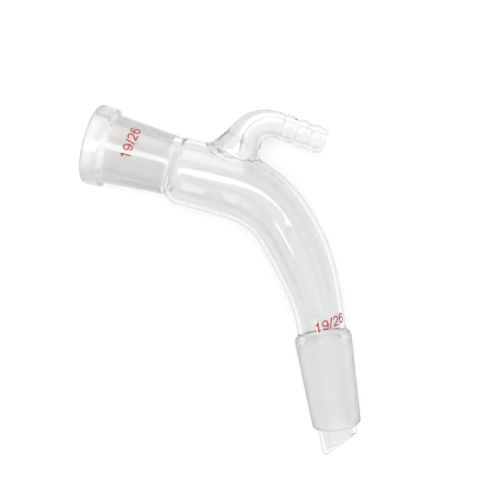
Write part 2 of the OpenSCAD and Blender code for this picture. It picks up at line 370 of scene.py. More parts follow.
def makeRidgeTree():
    # Raises the same ridge again and again along the nipple
    tree, given = startTree("nippleRidges", [
        ("First Ridge", "NodeSocketFloat", 1.2),
        ("Pitch", "NodeSocketFloat", 4.9),
        ("Count", "NodeSocketInt", 3),
        ("Rise", "NodeSocketFloat", 0.8),
        ("Land", "NodeSocketFloat", 0.9),
        ("Fall", "NodeSocketFloat", 2.6),
        ("Height", "NodeSocketFloat", 0.6),
        ("Finish", "NodeSocketMaterial", None),
    ])
    run = calc(tree, "SUBTRACT", named(tree, "run"), given["First Ridge"])
    which = calc(tree, "FLOOR", calc(tree, "DIVIDE", run, given["Pitch"]))
    here = calc(tree, "SUBTRACT", run, calc(tree, "MULTIPLY", which, given["Pitch"]))
    full = calc(tree, "ADD", calc(tree, "ADD", given["Rise"], given["Land"]), given["Fall"])
    rising = calc(tree, "DIVIDE", here, given["Rise"])
    falling = calc(tree, "DIVIDE", calc(tree, "SUBTRACT", full, here), given["Fall"])
    both = addNode(tree, "ShaderNodeClamp", {"Value": calc(tree, "MINIMUM", rising, falling)}).outputs[0]
    values = {"Value": both, "From Min": 0.0, "From Max": 1.0, "To Min": 0.0, "To Max": 1.0}
    shape = addNode(tree, "ShaderNodeMapRange", values, interpolation_type="SMOOTHSTEP").outputs[0]
    begun = calc(tree, "GREATER_THAN", run, 0.0)
    inside = calc(tree, "MULTIPLY", begun, calc(tree, "LESS_THAN", which, given["Count"]))
    lift = calc(tree, "MULTIPLY", calc(tree, "MULTIPLY", shape, inside), given["Height"])
    offset = vectorCalc(tree, "SCALE", named(tree, "across", "FLOAT_VECTOR"), scale=lift)
    moved = addNode(tree, "GeometryNodeSetPosition", {"Geometry": given["Geometry"], "Offset": offset})
    return endTree(tree, moved.outputs["Geometry"], given["Finish"])


def makePrintTree():
    # Flat pen lines get a width and a thickness, and are wrapped round a tube, tops towards its start
    tree, given = startTree("wrappedPrint", [
        ("Stroke", "NodeSocketFloat", 0.42),
        ("Depth", "NodeSocketFloat", 0.12),
        ("Sink", "NodeSocketFloat", 0.06),
        ("Spacing", "NodeSocketFloat", 0.12),
        ("At", "NodeSocketVector", None),
        ("Ahead", "NodeSocketVector", None),
        ("Radius", "NodeSocketFloat", 10.0),
        ("Narrowing", "NodeSocketFloat", 0.0),
        ("Turn", "NodeSocketFloat", 0.0),
        ("Slope", "NodeSocketFloat", 0.0),
        ("Finish", "NodeSocketMaterial", None),
    ])
    line = addNode(tree, "GeometryNodeMeshToCurve", {0: given["Geometry"]}).outputs[0]
    values = {"Curve": line, "Length": given["Spacing"]}
    line = addNode(tree, "GeometryNodeResampleCurve", values, mode="LENGTH").outputs[0]
    line = addNode(tree, "GeometryNodeSetCurveNormal", {"Curve": line}, mode="Z_UP").outputs[0]
    values = {"Width": given["Stroke"], "Height": given["Depth"]}
    pen = addNode(tree, "GeometryNodeCurvePrimitiveQuadrilateral", values, mode="RECTANGLE").outputs[0]
    values = {"Curve": line, "Profile Curve": pen, "Fill Caps": True}
    solid = addNode(tree, "GeometryNodeCurveToMesh", values).outputs[0]
    place = addNode(tree, "GeometryNodeInputPosition", {}).outputs[0]
    split = addNode(tree, "ShaderNodeSeparateXYZ", {0: place}).outputs
    turn = calc(tree, "ADD", given["Turn"], calc(tree, "DIVIDE", split["X"], given["Radius"]))
    along = calc(tree, "SUBTRACT", calc(tree, "MULTIPLY", split["X"], given["Slope"]), split["Y"])
    lift = calc(tree, "MULTIPLY_ADD", given["Depth"], 0.5, split["Z"])
    radius = calc(tree, "ADD", given["Radius"], calc(tree, "SUBTRACT", lift, given["Sink"]))
    radius = calc(tree, "SUBTRACT", radius, calc(tree, "MULTIPLY", along, given["Narrowing"]))
    out = vectorCalc(tree, "CROSS_PRODUCT", (0.0, 0.0, 1.0), given["Ahead"])
    aside = calc(tree, "MULTIPLY", radius, calc(tree, "SINE", turn))
    moved = vectorCalc(tree, "ADD", given["At"], vectorCalc(tree, "SCALE", given["Ahead"], scale=along))
    moved = vectorCalc(tree, "ADD", moved, vectorCalc(tree, "SCALE", out, scale=aside))
    height = calc(tree, "MULTIPLY", radius, calc(tree, "COSINE", turn))
    up = addNode(tree, "ShaderNodeCombineXYZ", {"Z": height}).outputs[0]
    values = {"Geometry": solid, "Position": vectorCalc(tree, "ADD", moved, up)}
    placed = addNode(tree, "GeometryNodeSetPosition", values).outputs[0]
    return endTree(tree, placed, given["Finish"])


def grow(name, base, *layers):
    # Runs the trees on a base mesh, one after the other, and hands back a plain mesh
    thing = newObject(name, base)
    for tree, values in layers:
        layer = thing.modifiers.new(tree.name, "NODES")
        layer.node_group = tree
        for item in tree.interface.items_tree:
            if item.in_out == "INPUT" and item.name in values:
                layer[item.identifier] = values[item.name]
    graph = bpy.context.evaluated_depsgraph_get()
    made = bpy.data.meshes.new_from_object(
        thing.evaluated_get(graph), preserve_all_data_layers=True, depsgraph=graph)
    bpy.data.objects.remove(thing)
    return made


def stationMesh(name, line):
    base = bpy.data.meshes.new(name)
    base.from_pydata([tuple(s["at"]) for s in line], [(i, i + 1) for i in range(len(line) - 1)], [])
    side = base.attributes.new("side", "FLOAT_VECTOR", "POINT")
    side.data.foreach_set("vector", np.array([outward(s["heading"]) for s in line], np.float32).ravel())
    for mark in marks:
        values = np.array([s.get(mark, 0.0) for s in line], np.float32)
        base.attributes.new(mark, "FLOAT", "POINT").data.foreach_set("value", values)
    return base


# Materials


def newMaterial(name):
    made = bpy.data.materials.new(name)
    made.use_nodes = True
    made.node_tree.nodes.clear()
    return made, made.node_tree


def makeUnevenness():
    # Two sizes of unevenness in the glass, as a height and as a tone from dark to pale
    group = bpy.data.node_groups.new("unevenness", "ShaderNodeTree")
    for label, value in (("Broad Scale", 100.0), ("Fine Scale", 1000.0), ("Fine Share", 0.5)):
        group.interface.new_socket(label, in_out="INPUT", socket_type="NodeSocketFloat").default_value = value
    for label in ("Height", "Tone"):
        group.interface.new_socket(label, in_out="OUTPUT", socket_type="NodeSocketFloat")
    given = group.nodes.new("NodeGroupInput").outputs
    put = group.nodes.new("NodeGroupOutput").inputs
    place = addNode(group, "ShaderNodeTexCoord", {}).outputs["Object"]
    broad = addNode(group, "ShaderNodeTexNoise", {
        "Vector": place, "Scale": given["Broad Scale"], "Detail": 2.0, "Roughness": 0.4}).outputs[0]
    fine = addNode(group, "ShaderNodeTexNoise", {
        "Vector": place, "Scale": given["Fine Scale"], "Detail": 4.0, "Roughness": 0.6}).outputs[0]
    values = {0: given["Fine Share"], 2: broad, 3: fine}
    height = addNode(group, "ShaderNodeMix", values, data_type="FLOAT").outputs[0]
    tone = addNode(group, "ShaderNodeMapRange", {
        "Value": height, "From Min": 0.3, "From Max": 0.7, "To Min": 0.0, "To Max": 1.0}).outputs[0]
    group.links.new(height, put["Height"])
    group.links.new(tone, put["Tone"])
    return group


def uneven(tree, finish):
    # The group above in a material, with the finish's own values, and the bump that it drives
    node = addNode(tree, "ShaderNodeGroup", {}, node_tree=unevenness)
    for label, key in (("Broad Scale", "broad"), ("Fine Scale", "fine"), ("Fine Share", "fineShare")):
        node.inputs[label].default_value = finish[key]
    bump = addNode(tree, "ShaderNodeBump", {
        "Strength": finish["bump"], "Distance": finish["bumpDepth"], "Height": node.outputs["Height"]})
    return node.outputs["Tone"], bump.outputs[0]


def blend(tree, share, a, b):
    return addNode(tree, "ShaderNodeMix", {0: share, 6: a, 7: b}, data_type="RGBA").outputs[2]


clear = dict(
    colour=(0.997, 0.997, 0.996, 1),
    dullColour=(0.988, 0.989, 0.986, 1),    # where the melt is a shade less clear
    paintedEdgeShade=(0.38, 0.38, 0.38, 1),       # painted shade at the glass's edges, where its surface turns away from the camera; the next value sets how far in it reaches
    paintedEdgeReach=2.0,
    ior=1.474,
    broad=70.0,
    fine=420.0,
    fineShare=0.15,
    bump=0.25,
    bumpDepth=0.00012,
)
joint = dict(clear)                         # the clear outside of the barrel, over its ground bore
joint["dullColour"] = (0.985, 0.98, 0.972, 1)
# painted shade at the barrel's edges, paler than on the rest of the glass
joint["paintedEdgeShade"] = (0.9, 0.89, 0.875, 1)
ground = dict(
    colour=(1.0, 0.995, 0.987, 1),
    dullColour=(0.975, 0.966, 0.955, 1),
    roughness=(0.44, 0.56),                 # where it is pale, and where it is dull
    ior=1.474,
    clearness=0.88,
    broad=160.0,
    fine=1500.0,
    fineShare=0.7,
    bump=0.35,
    bumpDepth=0.00005,
)
enamel = dict(
    colour=(0.56, 0.014, 0.03, 1),
    dullColour=(0.42, 0.008, 0.02, 1),
    roughness=(0.3, 0.5),
    broad=500.0,
    fine=3200.0,
    fineShare=0.5,
    bump=0.3,
    bumpDepth=0.00003,
)
unevenness = makeUnevenness()


def makeClearGlass(name, finish):
    made, tree = newMaterial(name)
    tone, bumps = uneven(tree, finish)
    # Painted shade: the base colour turns darker as the surface turns away from the camera, standing in for
    # dark surroundings seen in the glass
    facing = addNode(tree, "ShaderNodeLayerWeight", {"Blend": 0.5}).outputs["Facing"]
    paintedEdgeMask = calc(tree, "POWER", facing, finish["paintedEdgeReach"])
    shade = blend(tree, tone, finish["dullColour"], finish["colour"])
    surface = addNode(tree, "ShaderNodeBsdfPrincipled", {
        "Base Color": blend(tree, paintedEdgeMask, shade, finish["paintedEdgeShade"]), "Roughness": 0.0,
        "IOR": finish["ior"], "Transmission Weight": 1.0, "Normal": bumps})
    addNode(tree, "ShaderNodeOutputMaterial", {"Surface": surface.outputs[0]})
    return made


def makeDull(name, finish, own):
    # A finish that is paler and smoother where its tone is high, with values of its own for the shader
    made, tree = newMaterial(name)
    tone, bumps = uneven(tree, finish)
    shade = blend(tree, tone, finish["dullColour"], finish["colour"])
    values = {"Value": tone, "To Min": finish["roughness"][1], "To Max": finish["roughness"][0]}
    rough = addNode(tree, "ShaderNodeMapRange", values).outputs[0]
    surface = addNode(tree, "ShaderNodeBsdfPrincipled", {
        "Base Color": shade, "Roughness": rough, "Normal": bumps, **own})
    addNode(tree, "ShaderNodeOutputMaterial", {"Surface": surface.outputs[0]})
    return made


clearGlass = makeClearGlass("clearGlass", clear)
jointGlass = makeClearGlass("jointGlass", joint)
groundOwn = {"IOR": ground["ior"], "Transmission Weight": ground["clearness"]}
groundGlass = makeDull("groundGlass", ground, groundOwn)
redEnamel = makeDull("redEnamel", enamel, {})

tubeTree = makeTubeTree()
tipTree = makeTipTree()
ridgeTree = makeRidgeTree()
printTree = makePrintTree()
print("the trees and the finishes are built")

# The two skins of the socket, the body, the bend and the cone. A station's finish is 0 for clear glass,
# 1 for ground glass and 2 for the clear glass over the ground bore.


def socketStations(profile, finish, finishEnd):
    line = []
    for along, radius in rounded(profile, grain["step"]):
        at = np.array([along - socket["length"], socket["shift"], 0.0])
        mark = 1.0 if along < socket["faceGround"] else finish * float(along <= finishEnd)
        line.append(station(at, 0.0, radius, finish=mark))
    return line


def sealStations(barrelR, barrelTaper, inset):
    # Past the seal the barrel and the shoulder overlap, and each ring reaches whichever is wider
    line = []
    corner = body["outerR"] - body["shoulderR"]
    shoulderR = body["shoulderR"] - inset
    for along in grain["sealRings"]:
        depth = min(shoulderR, body["shoulderAt"] - along)
        shoulder = corner + math.sqrt(shoulderR ** 2 - depth ** 2)
        barrel = barrelR - barrelTaper * along
        top = softMax(barrel + socket["shift"], shoulder, socket["sealBlend"])
        low = softMax(barrel - socket["shift"], shoulder, socket["sealBlend"])
        line.append(station(np.array([along, (top - low) / 2, 0.0]), 0.0, (top + low) / 2))
    return line


patchEnd = body["straight"] + body["bendR"] * grain["patchTurn"]


def tubeStations(inset):
    # The stations, and the first and last of those that the weld's patch replaces
    runs = steps(body["shoulderAt"], grain["patchStart"], grain["step"])
    first = len(runs) - 1
    patchStep = (patchEnd - grain["patchStart"]) / grain["patchSteps"]
    runs += steps(grain["patchStart"], patchEnd, patchStep + 1e-9)
    last = len(runs) - 1
    runs += steps(patchEnd, footRun, grain["step"])
    return [station(*middle(run), tubeRadius(run) - inset) for run in runs], first, last


def coneStations(profile, isGround):
    line = []
    for along, radius in rounded(profile, grain["step"])[1:]:
        at = footAt + along * ahead(footHeading)
        finish = float(isGround and cone["groundStart"] <= along <= cone["groundEnd"])
        line.append(station(at, footHeading, radius, finish=finish))
    return line


def tipStations(radius, side):
    # One side of the tip's wall, 1 outside and -1 in the bore, and its lip round to the slanted cut
    at = footAt + cone["tipStart"] * ahead(footHeading)
    big, small = cone["lipRound"]
    lip = [(radius, big), (radius - side * small, small), (radius - side * big, 0.0), (cone["lipR"], 0.0)]
    shares = [k / grain["tipSteps"] for k in range(1, grain["tipSteps"])]
    line = [station(at, footHeading, radius, cut=share) for share in shares]
    return line + [station(at, footHeading, r, cut=1.0, back=back) for r, back in lip]


outerLine = socketStations([
    (0.0, socket["faceR"], 0),
    (0.0, socket["rimR"], socket["rimRound"]),
    (*socket["rimBack"], socket["rimBackRound"]),
    (*socket["rimFoot"], socket["rimFootRound"]),
    (socket["length"], socket["barrelEndR"], 0),
], 2.0, socket["length"])
outerLine += sealStations(socket["barrelEndR"], socket["barrelTaper"], 0.0)
tube, outerFirst, outerLast = tubeStations(0.0)
outerFirst += len(outerLine)
outerLast += len(outerLine)
outerLine += tube
outerLine += coneStations([
    (0.0, body["footR"], 0),
    (cone["ringFoot"], body["footR"], cone["ringFootRound"]),
    (cone["ringTop"], cone["ringR"], cone["ringTopRound"]),
    (cone["ringEnd"], cone["ringR"], cone["edgeRound"]),
    (cone["start"], cone["startR"], cone["edgeRound"]),
    (cone["end"], cone["endR"], cone["noseR"]),
    (cone["end"], cone["tipR"], cone["tipStartRound"]),
    (cone["tipStart"], cone["tipR"], 0),
], isGround=True)
outerLine += tipStations(cone["tipR"], 1)

innerLine = socketStations([
    (0.0, socket["faceR"], 0),
    (0.0, socket["mouthR"], socket["mouthRound"]),
    (socket["mouthLand"], socket["mouthR"], 0),
    (socket["boreEnd"], socket["boreEndR"], 0),
    (socket["length"], socket["boreEndR"], 0),
], 1.0, socket["boreEnd"])
innerLine += sealStations(socket["boreEndR"], 0.0, body["wall"])
tube, innerFirst, innerLast = tubeStations(body["wall"])
innerFirst += len(innerLine)
innerLast += len(innerLine)
innerLine += tube
innerLine += coneStations([
    (0.0, body["footR"] - body["wall"], 0),
    (cone["start"], body["footR"] - body["wall"], cone["boreRound"]),
    (cone["funnelStart"], cone["endR"] - cone["wall"], cone["funnelRound"]),
    (cone["funnelEnd"], cone["tipBoreR"], cone["funnelEndRound"]),
    (cone["tipStart"], cone["tipBoreR"], 0),
], isGround=False)
innerLine += tipStations(cone["tipBoreR"], -1)

tipValues = {
    "From": cone["tipStart"],
    "Short Side": cone["cutShort"],
    "Toe": cone["cutToe"],
    "Tip Radius": cone["tipR"],
    "Slant": cone["cutSlant"],
    "Turn": cone["cutTurn"],
    "Finish": clearGlass,
}
tubeValues = {"Sides": grain["sides"], "Finish": clearGlass}
skinLayers = ((tubeTree, tubeValues), (tipTree, tipValues))
outerSkin = grow("outerSkin", stationMesh("outerLine", outerLine), *skinLayers)
innerSkin = grow("innerSkin", stationMesh("innerLine", innerLine), *skinLayers)
print("skins:", len(outerSkin.vertices), "and", len(innerSkin.vertices), "points")

# The side arm: its foot grows out of the body, its tube bends over and ends in the nipple

arm = dict(
    at=16.5,
    heading=math.radians(18.0 - 90.0),
    rise=17.4,
    footR=8.4,
    kneeR=6.0,
    endR=4.35,
    turn=math.radians(76.6),
    bendR=9.5,
    skinAt=9.35,            # the foot's flare is measured from here, along the arm
    flare=1.5,
    flareMost=1.2,          # the flare's greatest share, reached inside the body
    rootAt=7.6,             # below this the foot narrows, inside the body
    rootTaper=0.5,
    weld=0.6,               # what the weld adds on the outside of the bend, and how it fades
    weldLow=13.78,
    weldRise=3.0,
    boreR=2.8,
    mouthR=4.2,
    mouthFade=2.5,
    boreBendR=8.0,
    fillet=1.3,             # softness of the weld, and of the hole inside it
    mouthFillet=0.9,
    collar=17.0,            # the weld's patch ends here, along the arm, and inside it at this height
    boreCollar=14.0,
)
nipple = dict(
    length=16.2,
    rootR=4.2,
    edgeR=0.6,
    faceR=3.5,              # middle of its flat end
    boreEdgeR=0.3,
    lead=1.2,               # plain length before the first ridge
    pitch=4.9,
    ridges=3,
    rise=0.8,
    land=0.9,
    fall=2.6,
    height=0.6,
    grip=7.35,              # middle of the ridges, where a hose sits
)

armBase = np.array([arm["at"], 0.0, 0.0])
kneeAt = armBase + arm["rise"] * ahead(arm["heading"])
armArc = arm["bendR"] * arm["turn"]
armSlope = (arm["kneeR"] - arm["endR"]) / armArc
nippleHeading = arm["heading"] + arm["turn"]
nippleAt = kneeAt + arm["bendR"] * (outward(nippleHeading) - outward(arm["heading"]))
boreTurn = math.pi / 2 + nippleHeading
boreTop = nippleAt + arm["boreBendR"] * (outward(-math.pi / 2) - outward(nippleHeading))


def armRadius(run):
    even = arm["endR"] + armSlope * (arm["rise"] + armArc - run)
    splay = arm["footR"] - (arm["endR"] + armSlope * (arm["rise"] + armArc - arm["skinAt"]))
    share = np.clip((arm["rise"] - run) / (arm["rise"] - arm["skinAt"]), 0, arm["flareMost"])
    return even + splay * share ** arm["flare"] - arm["rootTaper"] * np.clip(arm["rootAt"] - run, 0, None)


def weldBulge(run):
    fade = np.clip(1 - np.clip(run - arm["weldLow"], 0, None) / arm["weldRise"], 0, None)
    return arm["weld"] * fade ** 2


def mouthRadius(height):
    depth = np.clip(height - (body["outerR"] - body["wall"]), 0, None)
    return arm["boreR"] + (arm["mouthR"] - arm["boreR"]) * np.exp(-depth / arm["mouthFade"])


patchLoop = 2 * (grain["patchSteps"] + 2 * grain["patchHalf"])
collarAt = armBase + arm["collar"] * ahead(arm["heading"])
beforeNipple = -1.0         # a run below 0 takes no ridge
armLine = [station(collarAt, arm["heading"], float(armRadius(arm["collar"])), run=beforeNipple)]
for turn in [0.0] + steps(0, arm["turn"], grain["armTurn"]):
    heading = arm["heading"] + turn
    at = kneeAt + arm["bendR"] * (outward(heading) - outward(arm["heading"]))
    armLine.append(station(at, heading, arm["kneeR"] - armSlope * arm["bendR"] * turn, run=beforeNipple))
nippleProfile = [
    (0.0, arm["endR"], 0),
    (nipple["lead"], nipple["rootR"], 0),
    (nipple["length"], nipple["rootR"], nipple["edgeR"]),
    (nipple["length"], nipple["faceR"], 0),
]
for along, radius in rounded(nippleProfile, grain["nippleStep"])[1:]:
    at = nippleAt + along * ahead(nippleHeading)
    armLine.append(station(at, nippleHeading, radius, run=along))
ridgeValues = {
    "First Ridge": nipple["lead"],
    "Pitch": nipple["pitch"],
    "Count": nipple["ridges"],
    "Rise": nipple["rise"],
    "Land": nipple["land"],
    "Fall": nipple["fall"],
    "Height": nipple["height"],
    "Finish": clearGlass,
}
armValues = {"Sides": patchLoop, "Finish": clearGlass}
armSkin = grow("armSkin", stationMesh("armLine", armLine), (tubeTree, armValues), (ridgeTree, ridgeValues))

boreLine = []
for height in [arm["boreCollar"]] + steps(arm["boreCollar"], boreTop[1], grain["boreStep"]):
    at = np.array([boreTop[0], height, 0.0])
    boreLine.append(station(at, -math.pi / 2, float(mouthRadius(height))))
topR = float(mouthRadius(boreTop[1]))
for turn in steps(0, boreTurn, grain["boreTurn"]):
    heading = turn - math.pi / 2
    at = boreTop + arm["boreBendR"] * (outward(heading) - outward(-math.pi / 2))
    boreLine.append(station(at, heading, arm["boreR"] + (topR - arm["boreR"]) * (1 - turn / boreTurn)))
endProfile = [
    (0.0, arm["boreR"], 0),
    (nipple["length"], arm["boreR"], nipple["boreEdgeR"]),
    (nipple["length"], nipple["faceR"], 0),
]
for along, radius in rounded(endProfile, grain["step"])[1:]:
    boreLine.append(station(nippleAt + along * ahead(nippleHeading), nippleHeading, radius))
boreSkin = grow("boreSkin", stationMesh("boreLine", boreLine), (tubeTree, armValues))
print("the side arm is drawn")


# The welds: each patch fills the hole cut in a skin and runs up to the arm's first ring


def numbers(skin, name, kind="value", width=1):
    layer = skin.attributes[name]
    values = np.zeros(len(layer.data) * width, np.int32 if layer.data_type == "INT" else np.float32)
    layer.data.foreach_get(kind, values)
    return values.reshape(-1, width) if width > 1 else values


def rings(skin):
    # The skin's points as [ring][spoke], and where each one is in the mesh
    ring, spoke = numbers(skin, "ring"), numbers(skin, "spoke")
    count = len(ring) // (ring.max() + 1)
    index = np.zeros((ring.max() + 1, count), int)
    index[ring, spoke % count] = np.arange(len(ring))
    return index, numbers(skin, "position", "vector", 3).astype(float)


def fromTube(points, inset):
    # How far points lie outside the body's skin, on its straight and its first bend
    x, y, z = points.T
    bent = x > body["straight"]
    fromCentre = np.hypot(x - bendCentre[0], y - bendCentre[1])
    share = np.arctan2(x - bendCentre[0], y - bendCentre[1]) / body["bendTurn"]
    narrowed = body["outerR"] + (body["waistR"] - body["outerR"]) * softStep(share)
    radius = np.where(bent, narrowed, body["outerR"])
    return np.hypot(np.where(bent, fromCentre - body["bendR"], y), z) - radius + inset


def outerWeld(points):
    away = points - armBase
    run = away @ ahead(arm["heading"])
    bulge = weldBulge(run)
    aside = away @ outward(arm["heading"]) + bulge
    fromArm = np.hypot(aside, points[:, 2]) - armRadius(run) - bulge
    return -softMax(-fromTube(points, 0.0), -fromArm, arm["fillet"])


def innerWeld(points):
    fromBore = np.hypot(points[:, 0] - boreTop[0], points[:, 2]) - mouthRadius(points[:, 1])
    return -softMax(-fromTube(points, body["wall"]), -fromBore, arm["mouthFillet"])


def settle(points, field):
    # Moves points along the field's slope until they lie on its surface
    probes = np.eye(3) * grain["probe"]
    for _ in range(grain["settleTurns"]):
        slope = np.stack([field(points + d) - field(points - d) for d in probes], 1) / (2 * grain["probe"])
        points = points - slope * (field(points) / np.maximum((slope ** 2).sum(1), 1e-6))[:, None]
    return points


def weldPatch(hole, collar, field, rows, ease):
    # Rows of points from the hole's edge to the collar, smoothed while they stay on the weld's surface
    share = (np.arange(rows + 1) / rows) ** ease
    grid = hole[None] * (1 - share[:, None, None]) + collar[None] * share[:, None, None]
    for turn in range(grain["relaxTurns"]):
        if turn:
            pulled = (grid[:-2] + grid[2:] + np.roll(grid, 1, 1)[1:-1] + np.roll(grid, -1, 1)[1:-1]) / 4
            grid[1:-1] += grain["relaxPull"] * (pulled - grid[1:-1])
        grid[1:-1] = settle(grid[1:-1].reshape(-1, 3), field).reshape(grid[1:-1].shape)
    return grid


def cutHole(index, first, last):
    # The hole's edge in order: round the far side, up to the body's +Z side and back
    half, count = grain["patchHalf"], index.shape[1]
    up = [(first, k) for k in range(half)]
    along = [(r, half) for r in range(first, last)]
    down = [(last, k) for k in range(half, -half, -1)]
    back = [(r, -half) for r in range(last, first, -1)]
    home = [(first, k) for k in range(-half, 0)]
    return [index[r, k % count] for r, k in up + along + down + back + home]


shell = bmesh.new()
mostDrift = 0.0
for skin, branch, first, last, field, rows, ease in (
        (outerSkin, armSkin, outerFirst, outerLast, outerWeld, grain["weldRows"], grain["weldEase"]),
        (innerSkin, boreSkin, innerFirst, innerLast, innerWeld, grain["mouthRows"], grain["mouthEase"])):
    index, points = rings(skin)
    branchIndex, branchPoints = rings(branch)
    patch = weldPatch(points[cutHole(index, first, last)], branchPoints[branchIndex[0]], field, rows, ease)
    mostDrift = max(mostDrift, np.abs(field(patch.reshape(-1, 3))).max())
    ring, spoke = numbers(skin, "ring"), numbers(skin, "spoke")
    inHole = (ring >= first) & (ring <= last) & (np.abs(spoke) <= grain["patchHalf"])
    finish = np.rint(numbers(skin, "finish")).astype(int)
    made = [shell.verts.new(p) for p in points]
    for face in skin.polygons:
        corners = list(face.vertices)
        if inHole[corners].all():
            continue
        same = finish[corners].min() == finish[corners].max()
        drawn = shell.faces.new([made[k] for k in corners])
        drawn.material_index = int(finish[corners[0]]) if same else 0
    made = [shell.verts.new(p) for p in branchPoints]
    for face in branch.polygons:
        shell.faces.new([made[k] for k in face.vertices])
    made = [[shell.verts.new(p) for p in row] for row in patch]
    for near, far in zip(made, made[1:]):
        for k in range(patchLoop):
            j = (k + 1) % patchLoop
            shell.faces.new((near[k], near[j], far[j], far[k]))
bmesh.ops.remove_doubles(shell, verts=shell.verts, dist=grain["merge"])
loose = [v for v in shell.verts if not v.link_faces]
bmesh.ops.delete(shell, geom=loose, context="VERTS")
bmesh.ops.recalc_face_normals(shell, faces=shell.faces)
for face in shell.faces:
    face.smooth = True
openEdges = sum(1 for e in shell.edges if len(e.link_faces) != 2)
euler = len(shell.verts) - len(shell.edges) + len(shell.faces)
print("shell:", len(shell.verts), "points,", openEdges, "open edges, euler", euler)
volume = shell.calc_volume(signed=True)
print("shell:", round(volume, 1), "mm3, weld within", round(float(mostDrift), 5), "mm")


# The finished glass: metres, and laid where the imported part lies

mounts = {m["name"]: m for m in frame["record"]["mounts"]}
mouthAt = Vector(mounts["socket_joint"]["pos_m"])
mouthAxis = Vector(mounts["socket_joint"]["axis"]).normalized()
coneAt = Vector(mounts["cone_joint"]["pos_m"])
alongX = -mouthAxis
alongZ = (coneAt - mouthAt).cross(alongX).normalized()
alongY = alongZ.cross(alongX)
turned = Matrix((alongX, alongY, alongZ)).transposed()
lay = Matrix.Translation(mouthAt) @ turned.to_4x4() @ Matrix.Scale(0.001, 4)
lay = lay @ Matrix.Translation((socket["length"], -socket["shift"], 0.0))
nippleMiddle = nippleAt + nipple["grip"] * ahead(nippleHeading)
off = lay @ Vector(nippleMiddle) - Vector(mounts["hose_nipple"]["pos_m"])
print("laid:", round(off.length * 1000, 3), "mm off at the nipple")


def finished(name, drawn, *finishes):
    made = bpy.data.meshes.new(name)
    drawn.to_mesh(made)
    made.transform(lay)
    for finish in finishes:
        made.materials.append(finish)
    return newObject(name, made)


glass = finished("adapterGlass", shell, clearGlass, groundGlass, jointGlass)
glass.data.set_sharp_from_angle(angle=grain["sharpTurn"])
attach(glass, "root")
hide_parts("adapter")

# The joint's size, printed on the barrel and again above the cone. A figure is one line of a pen, drawn
# in shares of its height.

figures = dict(
    text="19/26",
    height=3.3,
    stroke=0.43,
    spacing=0.12,           # between the points along a stroke
    bowSteps=16,
    advance=0.774,          # what a figure takes along the line, and what the slash takes
    slashAdvance=0.387,
    depth=0.12,             # thickness of the enamel, and how much of it lies in the glass
    sink=0.06,
)
prints = dict(
    barrelPrint=dict(
        at=(14.35 - socket["length"], socket["shift"], 0.0),
        heading=0.0,
        radius=11.1,            # the tube's, and what it loses in each mm
        narrowing=0.0884,
        turn=math.radians(14.5),    # how far round from the tube's top
        slope=0.07,             # how the line of figures climbs
    ),
    conePrint=dict(
        at=tuple(footAt),
        heading=footHeading,
        radius=8.17,
        narrowing=0.012,
        turn=math.radians(18.9),
        slope=-0.19,
    ),
)


def bow(x, y, acrossR, upR, start, end):
    # Points on an oval, in degrees anticlockwise from its right side
    count = figures["bowSteps"]
    turns = [math.radians(start + (end - start) * k / count) for k in range(count + 1)]
    return [(x + acrossR * math.cos(t), y + upR * math.sin(t)) for t in turns]


def figureLine(figure):
    nine = bow(0, 0, 0.27, 0.437, -150, 90) + bow(0, 0.165, 0.27, 0.272, 90, 345)[1:]
    twoFoot = [(0.08, -0.12), (-0.2, -0.31), (-0.27, -0.437), (0.29, -0.437)]
    lines = {
        "1": [(-0.21, 0.24), (-0.06, 0.29), (0.05, 0.47), (0.05, -0.5)],
        "2": bow(0, 0.175, 0.26, 0.262, 170, -25) + twoFoot,
        "6": [(-x, -y) for x, y in nine],
        "9": nine,
        "/": [(-0.14, -0.5), (0.14, 0.5)],
    }
    return lines[figure]


def penLines(name, text):
    widths = [figures["slashAdvance"] if figure == "/" else figures["advance"] for figure in text]
    points, edges, start = [], [], -sum(widths) / 2
    for figure, width in zip(text, widths):
        line = figureLine(figure)
        edges += [(len(points) + k, len(points) + k + 1) for k in range(len(line) - 1)]
        points += [((start + width / 2 + x) * figures["height"], y * figures["height"], 0.0) for x, y in line]
        start += width
    made = bpy.data.meshes.new(name)
    made.from_pydata(points, edges, [])
    return made


for name, given in prints.items():
    values = {
        "Stroke": figures["stroke"],
        "Depth": figures["depth"],
        "Sink": figures["sink"],
        "Spacing": figures["spacing"],
        "At": given["at"],
        "Ahead": tuple(ahead(given["heading"])),
        "Radius": given["radius"],
        "Narrowing": given["narrowing"],
        "Turn": given["turn"],
        "Slope": given["slope"],
        "Finish": redEnamel,
    }
    drawn = bmesh.new()
    drawn.from_mesh(grow(name, penLines(name + "Lines", figures["text"]), (printTree, values)))
    bmesh.ops.recalc_face_normals(drawn, faces=drawn.faces)
    openEdges = sum(1 for e in drawn.edges if len(e.link_faces) != 2)
    print(name + ":", len(drawn.faces), "faces,", openEdges, "open edges")
    piece = finished(name, drawn, redEnamel)
    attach(piece, "root")

# The stage: a pale floor, soft light and the camera


def newLamp(name, at, aim, size, sizeY, power):
    light = bpy.data.lights.new(name, "AREA")
    light.shape = "RECTANGLE"
    light.size, light.size_y, light.energy = size, sizeY, power
    thing = newObject(name, light)
    facing = (Vector(at) - Vector(aim)).to_track_quat("Z", "Y")
    thing.matrix_world = Matrix.Translation(at) @ facing.to_matrix().to_4x4()
    return thing


